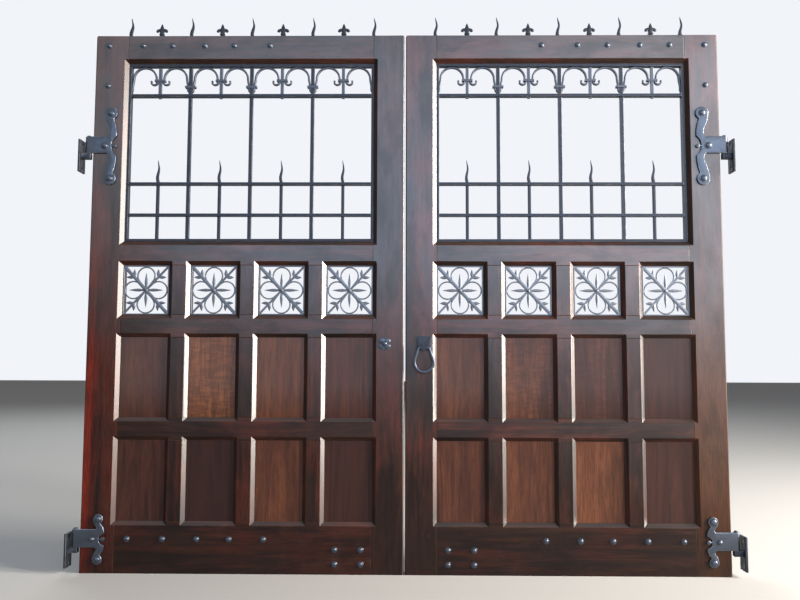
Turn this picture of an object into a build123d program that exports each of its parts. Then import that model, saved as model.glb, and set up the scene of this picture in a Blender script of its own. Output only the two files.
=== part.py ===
from build123d import *
from math import acos, asin, cos, degrees, hypot, pi, radians, sin, tan
import os

# Pair of framed timber gates with wrought iron grilles, in millimetres.
# X runs across the pair from its middle, the front faces -Y, and Z is 0 at the foot of the leaves.

# Leaves
leaf_width = 1242.0
leaf_height = 2118.0
leaf_thickness = 58.0
meeting_gap = 6.0
arris = 3.0
worn_corner = 8.0

# Timber members
hinge_stile_width = 131.0
meeting_stile_width = 123.0
top_rail_depth = 112.0
grille_rail_depth = 96.0
square_rail_depth = 89.0
panel_rail_depth = 89.0
bottom_rail_depth = 197.0
muntin_width = 86.0
bay_count = 4
square_clear = 196.0
upper_panel_clear = 310.0
lower_panel_clear = 307.0
chamfer_width = 16.0
chamfer_depth = 14.0

# Joinery
panel_thickness = 18.0
groove_depth = 12.0
panel_play = 2.0
tenon_length = 84.0
tenon_shoulder = 14.0
stub_tenon_length = 24.0
mortise_clearance = 0.2
mortise_spare = 2.0
overcut = 1.0
peg_side = 9.0
peg_inset = 34.0
foot_peg_spread = 96.0

# Grille in the tall opening
frame_face = 10.0
iron_depth = 24.0
tall_bar_side = 14.0
spear_bar_side = 12.0
cross_bar_height = 11.0
frieze_drop = 124.0
low_bar_rise = 107.0
bar_pair_gap = 126.0
spear_reach = 97.0
flame_wave = 4.5
flame_facets = 6
flame_calm = 0.4
flame_taper = 1.5
facet_angle = 30.0

# Arched frieze
scroll_width = 8.0
scroll_depth = 12.0
scroll_gap = 4.75
hook_radius = 15.0
hook_turn = 160.0
foot_turn = 75.0
tall_collar_drop = 82.0
leg_drop = 92.0
collar_height = 9.0
collar_ease = 1.5
collar_wall = 2.0

# Grilles in the squares
square_frame_face = 5.0
square_grille_depth = 8.0
square_fit = 0.3
diagonal_width = 7.0
loop_width = 5.5
loop_radius = 34.0
loop_facet_angle = 42.0
loop_lap = 0.5
square_spear_reach = 69.0
square_spear_width = 9.0
square_spear_root = 4.5
square_spear_widest = 50.0
barb_start = 0.52
barb_length = 32.0
barb_width = 6.0
barb_tip = 3.6

# Cresting on the top rail
flame_height = 88.0
flame_side = 14.0
fleur_height = 60.0
fleur_spread = 52.0
fleur_base = 17.0
fleur_neck = 12.0
fleur_neck_rise = 22.0
fleur_leaf = 20.0
fleur_leaf_rise = 34.0
fleur_shoulder = 14.0
fleur_shoulder_rise = 47.0
fleur_curl_width = 11.0
fleur_curl_turn = 215.0
fleur_tip = 2.5
fleur_depth = 9.0
tang_side = 9.0
tang_length = 40.0

# Hinges and the pintles they hang on
hinge_thickness = 8.0
knuckle_radius = 13.0
pin_radius = 7.0
pin_clearance = 0.08
axis_outset = 19.0
hinge_inset = 70.0
middle_stud_inset = 48.0
tab_height = 68.0
top_hinge_drop = 453.0
top_hinge_half = 132.0
top_lobe_radius = 26.0
bottom_hinge_height = 129.0
bottom_hinge_half = 76.0
bottom_lobe_radius = 19.0
tab_lift = 4.0
notch_set = 4.0
cusp_set = 25.0
cusp_level = 0.3
cusp_lean = -0.04
waist_set = 6.0
waist_level = 0.3
tab_root = 14.0
lobe_neck = 242.0
lobe_shoulder = -18.0
shoulder_lean = -0.15
bud_radius = 8.5
bud_set = 18.5
bud_stem = 4.0
plate_facets = 3
lobe_facets = 9
pintle_plate_width = 56.0
pintle_plate_height = 130.0
pintle_plate_thickness = 8.0
pintle_plate_outset = 24.0
pintle_shank = 22.0
pin_stand = 5.0
knuckle_float = 0.3
post_bolt_radius = 6.5
post_bolt_spacing = 96.0

# Stud bolts and back straps
stud_head_radius = 12.0
stud_crown_radius = 6.5
stud_head_height = 8.0
stud_shank = 10.0
stud_facets = 6
stud_nut_side = 19.0
stud_nut_height = 8.0
strap_width = 40.0
strap_thickness = 6.0
strap_overrun = 24.0
top_stud_line = 41.0
bottom_stud_line = 130.0
top_stud_insets = (51.0, 189.0, 307.0, 437.0, 556.0, 700.0)
corner_stud_drop = 206.0
bottom_stud_insets = (180.0, 316.0, 448.0, 572.0, 704.0)

# Drop bolts on the back of the bottom rails
foot_bolt_across = 100.0
foot_bolt_up = 54.0
foot_plate_centre = 217.0
foot_plate_rise = 66.0
foot_plate_edge = 20.0
foot_plate_thickness = 6.0
drop_rod_side = 18.0
drop_rod_clearance = 0.3
drop_rod_length = 250.0
drop_rod_foot = 8.0
guide_height = 14.0
guide_wall = 6.0
stop_collar_side = 26.0
stop_collar_height = 10.0
stop_collar_play = 1.0
bolt_handle_length = 58.0
bolt_handle_side = 13.0

# Ring pull and rose
pull_centre = 75.0
pull_height = 882.0
pull_plate_side = 58.0
pull_plate_thickness = 4.0
pull_plate_corner = 7.0
pull_eye_drop = 17.0
pull_boss_radius = 11.5
pull_boss_facets = 8
pull_boss_proud = 7.2
pull_pivot_stand = 13.0
ring_bar_radius = 4.5
ring_bar_facets = 8
ring_bend = 6.3
ring_facet_angle = 20.0
ring_end_gap = 3.0
ring_radius = 37.0
ring_drop = 57.0
ring_shoulder = 20.0
ring_clearance = 0.08
rose_centre = 78.0
rose_height = 880.0
rose_spread = 15.0
rose_lobe_radius = 13.0
rose_thickness = 4.0
rose_lobes = 4
rose_facets = 12
pull_shank = 12.0

# Lines that everything else is set out from
front = -leaf_thickness / 2
back = leaf_thickness / 2
x_meet = meeting_gap / 2
x_outer = x_meet + leaf_width
x_inner = x_meet + meeting_stile_width
x_hung = x_outer - hinge_stile_width
sight_width = x_hung - x_inner
arch_pitch = sight_width / bay_count / 2
arch_radius = (arch_pitch - tall_bar_side - scroll_width) / 2 - scroll_gap
bay_width = (sight_width - (bay_count - 1) * muntin_width) / bay_count
bay_starts = [x_inner + i * (bay_width + muntin_width) for i in range(bay_count)]

z_lower = bottom_rail_depth
z_panel_rail = z_lower + lower_panel_clear
z_upper = z_panel_rail + panel_rail_depth
z_square_rail = z_upper + upper_panel_clear
z_square = z_square_rail + square_rail_depth
z_grille_rail = z_square + square_clear
z_open = z_grille_rail + grille_rail_depth
z_top_rail = leaf_height - top_rail_depth
top_hinge_height = leaf_height - top_hinge_drop
pull_eye_height = pull_height - pull_eye_drop

sunk_face = front + chamfer_depth
sunk_back = sunk_face + panel_thickness
grille_mid = sunk_face + iron_depth / 2
knuckle_y = front - hinge_thickness + knuckle_radius
knuckle_x = x_outer + axis_outset
rail_levels = (
    (z_top_rail, leaf_height),
    (z_grille_rail, z_open),
    (z_square_rail, z_square),
    (z_panel_rail, z_upper),
    (0.0, z_lower),
)
panel_rows = ((z_upper, z_square_rail), (z_lower, z_panel_rail))
muntin_rows = ((z_square, z_grille_rail),) + panel_rows


def block(x0, x1, y0, y1, z0, z1):
    """A square-edged block between two corners."""
    middle = Pos((x0 + x1) / 2, (y0 + y1) / 2, (z0 + z1) / 2)
    return middle * Box(x1 - x0, y1 - y0, z1 - z0)


def post(x, y, side, z0, z1):
    """An upright square bar centred on x and y."""
    half = side / 2
    return block(x - half, x + half, y - half, y + half, z0, z1)


def raise_front(sketch, y_front, depth):
    """A flat outline drawn in X and Z, given its depth back from y_front."""
    return Pos(0, y_front + depth, 0) * extrude(Plane.XZ * sketch, amount=depth)


def flow(start, tangent, *points):
    """A run of arcs through the points, each leaving the last one smoothly."""
    edges = []
    for point in points:
        edge = TangentArc(start, point, tangent=tangent)
        edges.append(edge)
        start, tangent = point, edge % 1
    return edges


def plate_of(points):
    """A flat face from its corners, always facing the same way."""
    pairs = zip(points, points[1:] + points[:1])
    area = sum(a[0] * b[1] - b[0] * a[1] for a, b in pairs)
    return Polygon(*(points if area > 0 else points[::-1]), align=None)


def bow(centre, radius, start, sweep, facet=facet_angle):
    """Points along a round bend, forged in short facets."""
    steps = max(2, round(abs(sweep) / facet))
    angles = [radians(start + sweep * i / steps) for i in range(steps + 1)]
    return [(centre[0] + radius * cos(a), centre[1] + radius * sin(a)) for a in angles]


def ribbon(path, width, tip_width=None):
    """A bar of even width, or one drawn down to tip_width, laid along a path."""
    tip = width if tip_width is None else tip_width
    left, right = [], []
    last = len(path) - 1
    for i, (x, z) in enumerate(path):
        before, after = path[max(i - 1, 0)], path[min(i + 1, last)]
        run, rise = after[0] - before[0], after[1] - before[1]
        half = (width + (tip - width) * i / last) / 2 / hypot(run, rise)
        left.append((x - rise * half, z + run * half))
        right.append((x + rise * half, z - run * half))
    return plate_of(left + right[::-1])


def bays():
    """The clear rectangles of every opening in a leaf, as x0, x1, z0, z1."""
    rows = [(x_inner, x_hung, z_open, z_top_rail)]
    for z0, z1 in muntin_rows:
        rows += [(x, x + bay_width, z0, z1) for x in bay_starts]
    return rows


def splay(x0, x1, z0, z1):
    """Cutter for the chamfer round one opening, mitred at its corners."""
    outset = chamfer_width * (1 + overcut / chamfer_depth)
    centre_x, centre_z = (x0 + x1) / 2, (z0 + z1) / 2
    mouth = Plane((centre_x, front - overcut, centre_z), (1, 0, 0), (0, -1, 0))
    floor = Plane((centre_x, sunk_face, centre_z), (1, 0, 0), (0, -1, 0))
    wide = mouth * Rectangle(x1 - x0 + 2 * outset, z1 - z0 + 2 * outset)
    return loft([wide, floor * Rectangle(x1 - x0, z1 - z0)])


def stile_grooves():
    """Grooves down both stiles for the panels, run out into the mortises."""
    low, high = z_lower - tenon_shoulder, z_square_rail + tenon_shoulder
    meeting = block(x_inner - groove_depth, x_inner + overcut, sunk_face, sunk_back, low, high)
    hung = block(x_hung - overcut, x_hung + groove_depth, sunk_face, sunk_back, low, high)
    return [meeting, hung]


def rail_grooves(z0, z1):
    """Grooves along the edges of a rail that meets panels, open at both ends."""
    cuts = []
    left, right = x_inner - overcut, x_hung + overcut
    for low, high in panel_rows:
        if low == z1:
            cuts.append(block(left, right, sunk_face, sunk_back, z1 - groove_depth, z1 + overcut))
        if high == z0:
            cuts.append(block(left, right, sunk_face, sunk_back, z0 - overcut, z0 + groove_depth))
    return cuts


def tenons(z0, z1, extra=0.0):
    """The two tenons of a rail, or their mortises when they are made larger by extra."""
    low, high = z0 + tenon_shoulder - extra, z1 - tenon_shoulder + extra
    near, far = sunk_face - extra, sunk_back + extra
    reach = tenon_length + (mortise_spare if extra else 0.0)
    meeting = block(x_inner - reach, x_inner, near, far, low, high)
    hung = block(x_hung, x_hung + reach, near, far, low, high)
    return [meeting, hung]


def muntin_places(row):
    return [(x + bay_width, row) for x in bay_starts[:-1]]


def stub_tenons(x, z0, z1, extra=0.0):
    """The stub tenons of a muntin beside a square, or their mortises when made larger."""
    left = x + groove_depth - extra
    right = x + muntin_width - groove_depth + extra
    reach = stub_tenon_length + (mortise_spare if extra else 0.0)
    return block(left, right, sunk_face - extra, sunk_back + extra, z0 - reach, z1 + reach)


def peg_places():
    """The two pegs through the tenon at each end of the bottom rail."""
    middle = bottom_rail_depth / 2
    heights = (middle - foot_peg_spread / 2, middle + foot_peg_spread / 2)
    return [(x, z) for z in heights for x in (x_inner - peg_inset, x_hung + peg_inset)]


def across(x, z, side, y0, y1):
    """A square bar from front to back, as a peg, a bolt shank or the hole for one."""
    half = side / 2
    return block(x - half, x + half, y0, y1, z - half, z + half)


def crest_places():
    """X of the flames and of the fleurs between them, in line with the bars below."""
    pitch = sight_width / bay_count
    flames = [x_inner + i * pitch for i in range(bay_count + 1)]
    fleurs = [x_inner + (i + 0.5) * pitch for i in range(bay_count)]
    return flames, fleurs


def hinge_studs(height, half):
    x_end = x_outer - hinge_inset
    return [(x_end, height + half), (x_outer - middle_stud_inset, height), (x_end, height - half)]


def foot_bolts():
    across_half, up_half = foot_bolt_across / 2, foot_bolt_up / 2
    corners = [(sx, sz) for sx in (-1, 1) for sz in (-1, 1)]
    return [(foot_plate_centre + sx * across_half, foot_plate_rise + sz * up_half) for sx, sz in corners]


def top_strap_studs():
    line = leaf_height - top_stud_line
    studs = [(x_outer - inset, line) for inset in top_stud_insets]
    return studs + [(x_outer - top_stud_insets[0], leaf_height - corner_stud_drop)]


def bottom_strap_studs():
    return [(x_outer - inset, bottom_stud_line) for inset in bottom_stud_insets]


def stud_places():
    """Each through bolt as x, z and the thickness of iron under its head and its nut."""
    hinged = hinge_studs(top_hinge_height, top_hinge_half)
    low = hinge_studs(bottom_hinge_height, bottom_hinge_half)
    places = [(x, z, hinge_thickness, 0.0) for x, z in hinged]
    places += [(x, z, hinge_thickness, strap_thickness if x > low[0][0] else 0.0) for x, z in low]
    places += [(x, z, 0.0, strap_thickness) for x, z in top_strap_studs() + bottom_strap_studs()]
    places += [(x, z, 0.0, foot_plate_thickness) for x, z in foot_bolts()]
    return places


def drill(member, box):
    """The member with the peg, bolt and handle holes that fall inside its box."""
    x0, x1, z0, z1 = box
    holes = [(x, z, peg_side) for x, z in peg_places()]
    holes += [(x, z, stud_shank) for x, z, _, _ in stud_places()]
    cuts = []
    for x, z, side in holes:
        if x0 - side < x < x1 + side and z0 - side < z < z1 + side:
            cuts.append(across(x, z, side, front - overcut, back + overcut))
    return member - cuts if cuts else member


def near(box, bay):
    """Whether a bay with its chamfer reaches the member."""
    x0, x1, z0, z1 = box
    a0, a1, b0, b1 = bay
    reach = chamfer_width
    return a0 - reach < x1 and a1 + reach > x0 and b0 - reach < z1 and b1 + reach > z0


def chamfered(member, box):
    cuts = [splay(*bay) for bay in bays() if near(box, bay)]
    return member - cuts


def tang(x, proud=0.0):
    """A square tang in the head of the leaf under a piece of the cresting, or its hole."""
    return post(x, 0, tang_side, leaf_height - tang_length, leaf_height + proud)


def tang_holes():
    flames, fleurs = crest_places()
    return [tang(x, overcut) for x in flames + fleurs]


def stile(x0, x1, free_x):
    """A full-height stile with its mortises, grooves, chamfers, worn head and bolt holes."""
    box = (x0, x1, 0.0, leaf_height)
    side = 1 if free_x == x1 else -1
    body = block(x0, x1, front, back, 0, leaf_height)
    uprights = body.edges().filter_by(Axis.Z).sort_by(Axis.X)
    body = chamfer(uprights[-2:] if side > 0 else uprights[:2], arris)
    low = (free_x, leaf_height - worn_corner)
    high = (free_x - side * worn_corner, leaf_height)
    round_head = RadiusArc(low, high, -side * worn_corner)
    waste = make_face([round_head, Line(high, (free_x, leaf_height)), Line((free_x, leaf_height), low)])
    body -= extrude(Plane.XZ * waste, amount=leaf_thickness, both=True)
    mortises = []
    for z0, z1 in rail_levels:
        mortises += tenons(z0, z1, mortise_clearance)
    body = body - mortises - stile_grooves() - tang_holes()
    return drill(chamfered(body, box), box)


def rail(z0, z1, crested=False):
    """A rail between the stiles with its tenons, grooves, chamfers and mortises."""
    box = (x_inner, x_hung, z0, z1)
    body = block(x_inner, x_hung, front, back, z0, z1)
    square_row = muntin_rows[0]
    cuts = rail_grooves(z0, z1)
    if z1 == square_row[0] or z0 == square_row[1]:
        cuts += [stub_tenons(x, *row, mortise_clearance) for x, row in muntin_places(square_row)]
    if cuts:
        body -= cuts
    body = chamfered(body, box)
    for tenon in tenons(z0, z1):
        body += tenon
    if crested:
        body -= tang_holes()
    return drill(body, (x_inner - tenon_length, x_hung + tenon_length, z0, z1))


def muntin(x, row):
    """A short upright between two rails, grooved for panels or tenoned beside squares."""
    z0, z1 = row
    right = x + muntin_width
    body = block(x, right, front, back, z0, z1)
    if row in panel_rows:
        tongue = groove_depth - panel_play
        low, high = z0 - overcut, z1 + overcut
        body -= block(x - overcut, x + groove_depth, sunk_face, sunk_back, low, high)
        body -= block(right - groove_depth, right + overcut, sunk_face, sunk_back, low, high)
        body = chamfered(body, (x, right, z0, z1))
        inner = (x + groove_depth, right - groove_depth)
        return body + block(*inner, sunk_face, sunk_back, z0 - tongue, z1 + tongue)
    return chamfered(body, (x, right, z0, z1)) + stub_tenons(x, z0, z1)


def muntins():
    return [muntin(x, row) for each in muntin_rows for x, row in muntin_places(each)]


def panels():
    """The flat panels, held in the grooves with room to move."""
    lap = groove_depth - panel_play
    made = []
    for z0, z1 in panel_rows:
        for x in bay_starts:
            made.append(block(x - lap, x + bay_width + lap, sunk_face, sunk_back, z0 - lap, z1 + lap))
    return made


def tenon_pegs():
    return [across(x, z, peg_side, front, back) for x, z in peg_places()]


def grille_frame():
    """Four flat bars lining the tall opening just behind its chamfer."""
    near_y, far_y = sunk_face, sunk_face + iron_depth
    low, high = z_open + frame_face, z_top_rail - frame_face
    return [
        block(x_inner, x_hung, near_y, far_y, high, z_top_rail),
        block(x_inner, x_hung, near_y, far_y, z_open, low),
        block(x_inner, x_inner + frame_face, near_y, far_y, low, high),
        block(x_hung - frame_face, x_hung, near_y, far_y, low, high),
    ]


def cross_levels():
    """Mid-heights of the two low cross bars and of the one under the frieze."""
    low = z_open + low_bar_rise
    return [low, low + bar_pair_gap, z_top_rail - frame_face - frieze_drop + cross_bar_height / 2]


def tall_bars():
    flames, _ = crest_places()
    low, high = z_open + frame_face, z_top_rail - frame_face
    return [post(x, grille_mid, tall_bar_side, low, high) for x in flames[1:-1]]


def flame(x, y, z, side, height, foot=0.0):
    """A square bar drawn out into a wavy flame, with a plain foot below it."""
    half = side / 2
    left, right = [], []
    for i in range(flame_facets + 1):
        up = i / flame_facets
        sway = -flame_wave * sin(2 * pi * up) * (1 - up * flame_calm)
        wide = half * (1 - up ** flame_taper)
        left.append((sway - wide, height * up))
        right.append((sway + wide, height * up))
    blade = extrude(Plane.XZ * plate_of(left + right[-2::-1]), amount=half, both=True)
    wedge = plate_of([(-half, 0), (half, 0), (0, height)])
    blade &= extrude(Plane.YZ * wedge, amount=side * 2, both=True)
    shaped = Pos(x, y, z) * blade
    if foot:
        shaped += post(x, y, side, z - foot, z)
    return shaped


def spear_bars():
    """Short bars between the tall ones, drawn out to a flame above the low cross bars."""
    _, middles = crest_places()
    low = z_open + frame_face
    shoulder = cross_levels()[1] + cross_bar_height
    tip = cross_levels()[1] + spear_reach
    size = (spear_bar_side, tip - shoulder, shoulder - low)
    return [flame(x, grille_mid, shoulder, *size) for x in middles]


def frieze_bars():
    """Short bars of the frieze, from its cross bar up to the frame."""
    _, middles = crest_places()
    high = z_top_rail - frame_face
    low = cross_levels()[2] - cross_bar_height
    return [post(x, grille_mid, spear_bar_side, low, high) for x in middles]


def cross_bars():
    """Flat bars laid level, each punched square where an upright goes through."""
    made = []
    left, right = x_inner + frame_face, x_hung - frame_face
    for index, z in enumerate(cross_levels()):
        low, high = z - cross_bar_height / 2, z + cross_bar_height / 2
        bar = block(left, right, grille_mid - iron_depth / 2, grille_mid + iron_depth / 2, low, high)
        bar -= tall_bars()
        bar -= frieze_bars() if index == 2 else spear_bars()
        made.append(bar)
    return made


def arch_spring():
    """Height at which the half rounds of the frieze turn into their straight legs."""
    return z_top_rail - frame_face - scroll_width / 2 - arch_radius


def frieze_arch(x, toward):
    """One arch of the frieze: a hook beside the short bar, a half round, and a long leg."""
    spring = arch_spring()
    hook_z = spring - collar_height - 2 * collar_ease
    hook = bow((arch_radius - hook_radius, hook_z), hook_radius, -hook_turn, hook_turn)
    leg_end = z_top_rail - frame_face - leg_drop
    foot = bow((scroll_width - arch_radius, leg_end), scroll_width, 180, foot_turn)
    path = hook + bow((0, spring), arch_radius, 0, 180) + foot
    placed = [(x + toward * u, v) for u, v in path]
    return raise_front(ribbon(placed, scroll_width), grille_mid - scroll_depth / 2, scroll_depth)


def frieze_scrolls():
    _, middles = crest_places()
    half_pitch = arch_pitch / 2
    made = []
    for x in middles:
        made += [frieze_arch(x - half_pitch, 1), frieze_arch(x + half_pitch, -1)]
    return made


def collar(x, z):
    """A band wrapped round a bar and the two scroll legs beside it."""
    half_pitch = arch_pitch / 2
    inner_half = half_pitch - arch_radius + scroll_width / 2
    outer_half = inner_half + collar_wall
    depth_half = tall_bar_side / 2
    low, high = z - collar_height / 2, z + collar_height / 2
    outer_y = depth_half + collar_wall
    band = block(x - outer_half, x + outer_half, grille_mid - outer_y, grille_mid + outer_y, low, high)
    return band - block(
        x - inner_half, x + inner_half, grille_mid - depth_half, grille_mid + depth_half,
        low - overcut, high + overcut,
    )


def frieze_collars():
    flames, middles = crest_places()
    high = arch_spring() - collar_ease - collar_height / 2
    made = [collar(x, high) for x in middles]
    low = z_top_rail - frame_face - tall_collar_drop
    return made + [collar(x, low) for x in flames[1:-1]]


def square_loop(distance):
    """A round loop above the middle of a square, its two ends drawn in to the middle."""
    spread = degrees(acos(loop_radius / distance))
    half = loop_width / 2
    outer = bow((0, distance), loop_radius + half, spread - 90, 360 - 2 * spread, loop_facet_angle)
    inner = bow((0, distance), loop_radius - half, spread - 90, 360 - 2 * spread, loop_facet_angle)
    nip = half / sin(radians(90 - spread))
    return plate_of([(0, -nip)] + outer) - plate_of([(0, nip)] + inner)


def square_spear():
    """The straight blade inside a loop, from the middle of the square to its point."""
    root, half = square_spear_root / 2, square_spear_width / 2
    right = [(root, 0), (half, square_spear_widest)]
    left = [(-x, z) for x, z in reversed(right)]
    return plate_of(right + [(0, square_spear_reach)] + left)


def square_barbs(half_w, half_h):
    """The pair of leaf points that spring from each diagonal on its way to the corner."""
    root_x, root_z = half_w * barb_start, half_h * barb_start
    upright = [(0, -barb_width), (barb_width, 0), (barb_tip, barb_length)]
    level = [(z, x) for x, z in upright]
    barbs = []
    for flip_x in (-1, 1):
        for flip_z in (-1, 1):
            for points in (upright, level):
                barbs.append(plate_of([(flip_x * (root_x + x), flip_z * (root_z + z)) for x, z in points]))
    return barbs


def square_grille():
    """One square grille about its middle: frame, diagonals, loops, blades and barbs."""
    half_w, half_h = bay_width / 2 - square_fit, square_clear / 2 - square_fit
    clear_w, clear_h = half_w - square_frame_face, half_h - square_frame_face
    lace = Rectangle(2 * half_w, 2 * half_h) - Rectangle(2 * clear_w, 2 * clear_h)
    touch = loop_radius + loop_width / 2 - loop_lap
    parts = []
    for flip in (-1, 1):
        parts.append(ribbon([(-clear_w, -flip * clear_h), (clear_w, flip * clear_h)], diagonal_width))
    for turn, reach in ((0, clear_h), (90, clear_w), (180, clear_h), (270, clear_w)):
        parts.append(Rot(0, 0, turn) * square_loop(reach - touch))
        parts.append(Rot(0, 0, turn) * square_spear())
    return lace + parts + square_barbs(half_w, half_h)


def square_grilles():
    lace = square_grille()
    middle = (z_square + z_grille_rail) / 2
    solid = raise_front(lace, sunk_face, square_grille_depth)
    return [Pos(x + bay_width / 2, 0, middle) * solid for x in bay_starts]


def crest_flames():
    flames, _ = crest_places()
    return [flame(x, 0, leaf_height, flame_side, flame_height) + tang(x) for x in flames]


def fleur_outline():
    """A fleur-de-lis: a pointed middle leaf on a stem, and two side leaves curling out."""
    right = [
        (fleur_base / 2, 0),
        (fleur_neck / 2, fleur_neck_rise),
        (fleur_leaf / 2, fleur_leaf_rise),
        (fleur_shoulder / 2, fleur_shoulder_rise),
    ]
    left = [(-x, z) for x, z in reversed(right)]
    outline = plate_of(right + [(0, fleur_height)] + left)
    curl = (fleur_spread - fleur_tip) / 4
    bend = bow((curl, fleur_neck_rise), curl, fleur_curl_turn, -fleur_curl_turn)
    for side in (-1, 1):
        outline += ribbon([(side * x, z) for x, z in bend], fleur_curl_width, fleur_tip)
    return outline


def crest_fleurs():
    _, middles = crest_places()
    solid = raise_front(fleur_outline(), -fleur_depth / 2, fleur_depth)
    return [Pos(x, 0, leaf_height) * solid + tang(x) for x in middles]


def chords(edges, steps):
    """Points along a run of arcs, each arc hammered in the same few facets."""
    return [edge @ (i / steps) for edge in edges for i in range(steps)]


def hinge_half(half, lobe, tab_edge):
    """Upper half of a hinge plate's outline, from its notch round the lobe to the tab."""
    reach = hinge_inset + axis_outset
    neck = Vector(0, half) + Vector(lobe, 0).rotate(Axis.Z, lobe_neck)
    shoulder = Vector(0, half) + Vector(lobe, 0).rotate(Axis.Z, lobe_shoulder)
    cusp = (-cusp_set, half * cusp_level)
    inner = flow((-notch_set, 0), (0, 1), cusp) + flow(cusp, (cusp_lean, 1), (neck.X, neck.Y))
    cap = ThreePointArc(neck, Vector(0, half + lobe), shoulder)
    waist = tab_edge + (half - tab_edge) * waist_level
    outer = flow((shoulder.X, shoulder.Y), (shoulder_lean, -1), (waist_set, waist), (tab_root, tab_edge))
    bends = chords(inner, plate_facets) + chords([cap], lobe_facets) + chords(outer, plate_facets)
    outline = [(point.X, point.Y) for point in bends]
    return plate_of(outline + [(tab_root, tab_edge), (reach, tab_edge), (reach, 0)])


def hinge(height, half, lobe):
    """A shaped hinge plate with its tab rolled into a knuckle bored for the pin."""
    x_end = x_outer - hinge_inset
    upper = hinge_half(half, lobe, tab_height / 2 + tab_lift)
    lower = hinge_half(half, lobe, tab_height / 2 - tab_lift)
    bud = Pos(-bud_set, 0) * RegularPolygon(bud_radius, lobe_facets)
    stem = Pos(-bud_set, 0) * Rectangle(bud_set, bud_stem, align=(Align.MIN, Align.CENTER))
    face = front - hinge_thickness
    plate = raise_front(upper + bud + stem, face, hinge_thickness)
    plate += mirror(raise_front(lower, face, hinge_thickness), Plane.XY)
    plate = Pos(x_end, 0, height) * plate
    z0, z1 = knuckle_span(height)
    axis = Pos(knuckle_x, knuckle_y, (z0 + z1) / 2)
    plate += axis * Cylinder(knuckle_radius, z1 - z0)
    plate -= axis * Cylinder(pin_radius + pin_clearance, z1 - z0 + 2 * overcut)
    low_y, high_y = face - overcut, front + overcut
    return plate - [across(x, z, stud_shank, low_y, high_y) for x, z in hinge_studs(height, half)]


def knuckle_span(height):
    middle = height + tab_lift
    return middle - tab_height / 2, middle + tab_height / 2


def pintle(height):
    """A pintle: a plate bolted to the post, a shank, a seat and the upright pin."""
    z0, z1 = knuckle_span(height)
    seat = z0 - knuckle_float
    plate_x = knuckle_x + pintle_plate_outset
    half = pintle_plate_width / 2
    plate_z = seat - pintle_shank / 2
    plate = block(
        plate_x, plate_x + pintle_plate_thickness, knuckle_y - half, knuckle_y + half,
        plate_z - pintle_plate_height / 2, plate_z + pintle_plate_height / 2,
    )
    for step in (-0.5, 0.5):
        hole = Pos(plate_x, knuckle_y, plate_z + step * post_bolt_spacing) * Rot(0, 90, 0)
        plate -= hole * Cylinder(post_bolt_radius, pintle_plate_thickness * 4)
    shank_half = pintle_shank / 2
    near_x = knuckle_x - shank_half
    plate += block(near_x, plate_x, knuckle_y - shank_half, knuckle_y + shank_half, seat - pintle_shank, seat)
    pin_top = z1 + pin_stand
    plate += Pos(knuckle_x, knuckle_y, (seat + pin_top) / 2) * Cylinder(pin_radius, pin_top - seat)
    return plate


def strap(studs, extra_leg=None):
    """A flat strap on the back under a row of nuts, with a leg down the stile if given."""
    xs = [x for x, _ in studs]
    line = studs[0][1]
    half = strap_width / 2
    face = back + strap_thickness
    body = block(min(xs) - strap_overrun, max(xs) + strap_overrun, back, face, line - half, line + half)
    holes = list(studs)
    if extra_leg:
        x, z = extra_leg
        body += block(x - half, x + half, back, face, z - strap_overrun, line)
        holes.append(extra_leg)
    return body - [across(x, z, stud_shank, back - overcut, face + overcut) for x, z in holes]


def top_strap():
    studs = top_strap_studs()
    return strap(studs[:-1], studs[-1])


def bottom_strap():
    middle_stud = hinge_studs(bottom_hinge_height, bottom_hinge_half)[1]
    return strap(bottom_strap_studs() + [middle_stud])


def stud_bolt(x, z, under_head, under_nut):
    """A dome-headed bolt through the leaf, with its square nut run down at the back."""
    seat = front - under_head
    facing = ((1, 0, 0), (0, -1, 0))
    foot = Plane((x, seat, z), *facing) * RegularPolygon(stud_head_radius, stud_facets)
    crown = Plane((x, seat - stud_head_height, z), *facing) * RegularPolygon(stud_crown_radius, stud_facets)
    nut_seat = back + under_nut
    bolt = loft([foot, crown], ruled=True) + across(x, z, stud_shank, seat, nut_seat + stud_nut_height)
    return bolt + across(x, z, stud_nut_side, nut_seat, nut_seat + stud_nut_height)


def stud_bolts():
    return [stud_bolt(*place) for place in stud_places()]


def foot_plate_box():
    half_w = foot_bolt_across / 2 + foot_plate_edge
    half_h = foot_bolt_up / 2 + foot_plate_edge
    return foot_plate_centre, half_w, foot_plate_rise - half_h, foot_plate_rise + half_h


def drop_rod_y():
    return back + foot_plate_thickness + guide_wall + drop_rod_side / 2


def bolt_plate():
    """Plate on the back of the bottom rail with two guides that hold the drop bolt."""
    x, half_w, z0, z1 = foot_plate_box()
    face = back + foot_plate_thickness
    plate = block(x - half_w, x + half_w, back, face, z0, z1)
    plate -= [across(bx, bz, stud_shank, back - overcut, face + overcut) for bx, bz in foot_bolts()]
    rod_y = drop_rod_y()
    far_y = rod_y + drop_rod_side / 2 + guide_wall
    half = drop_rod_side / 2 + guide_wall
    for low in (z0, z1 - guide_height):
        plate += block(x - half, x + half, face, far_y, low, low + guide_height)
    return plate - post(x, rod_y, drop_rod_side + 2 * drop_rod_clearance, z0 - overcut, z1 + overcut)


def drop_bolt():
    """Square bolt with a stop collar between the guides and a handle out of its head."""
    x, _, z0, z1 = foot_plate_box()
    rod_y = drop_rod_y()
    top = drop_rod_foot + drop_rod_length
    rod = post(x, rod_y, drop_rod_side, drop_rod_foot, top)
    collar_top = z1 - guide_height - stop_collar_play
    rod += post(x, rod_y, stop_collar_side, collar_top - stop_collar_height, collar_top)
    half = bolt_handle_side / 2
    return rod + block(x, x + bolt_handle_length, rod_y - half, rod_y + half, top - bolt_handle_side, top)


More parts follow.
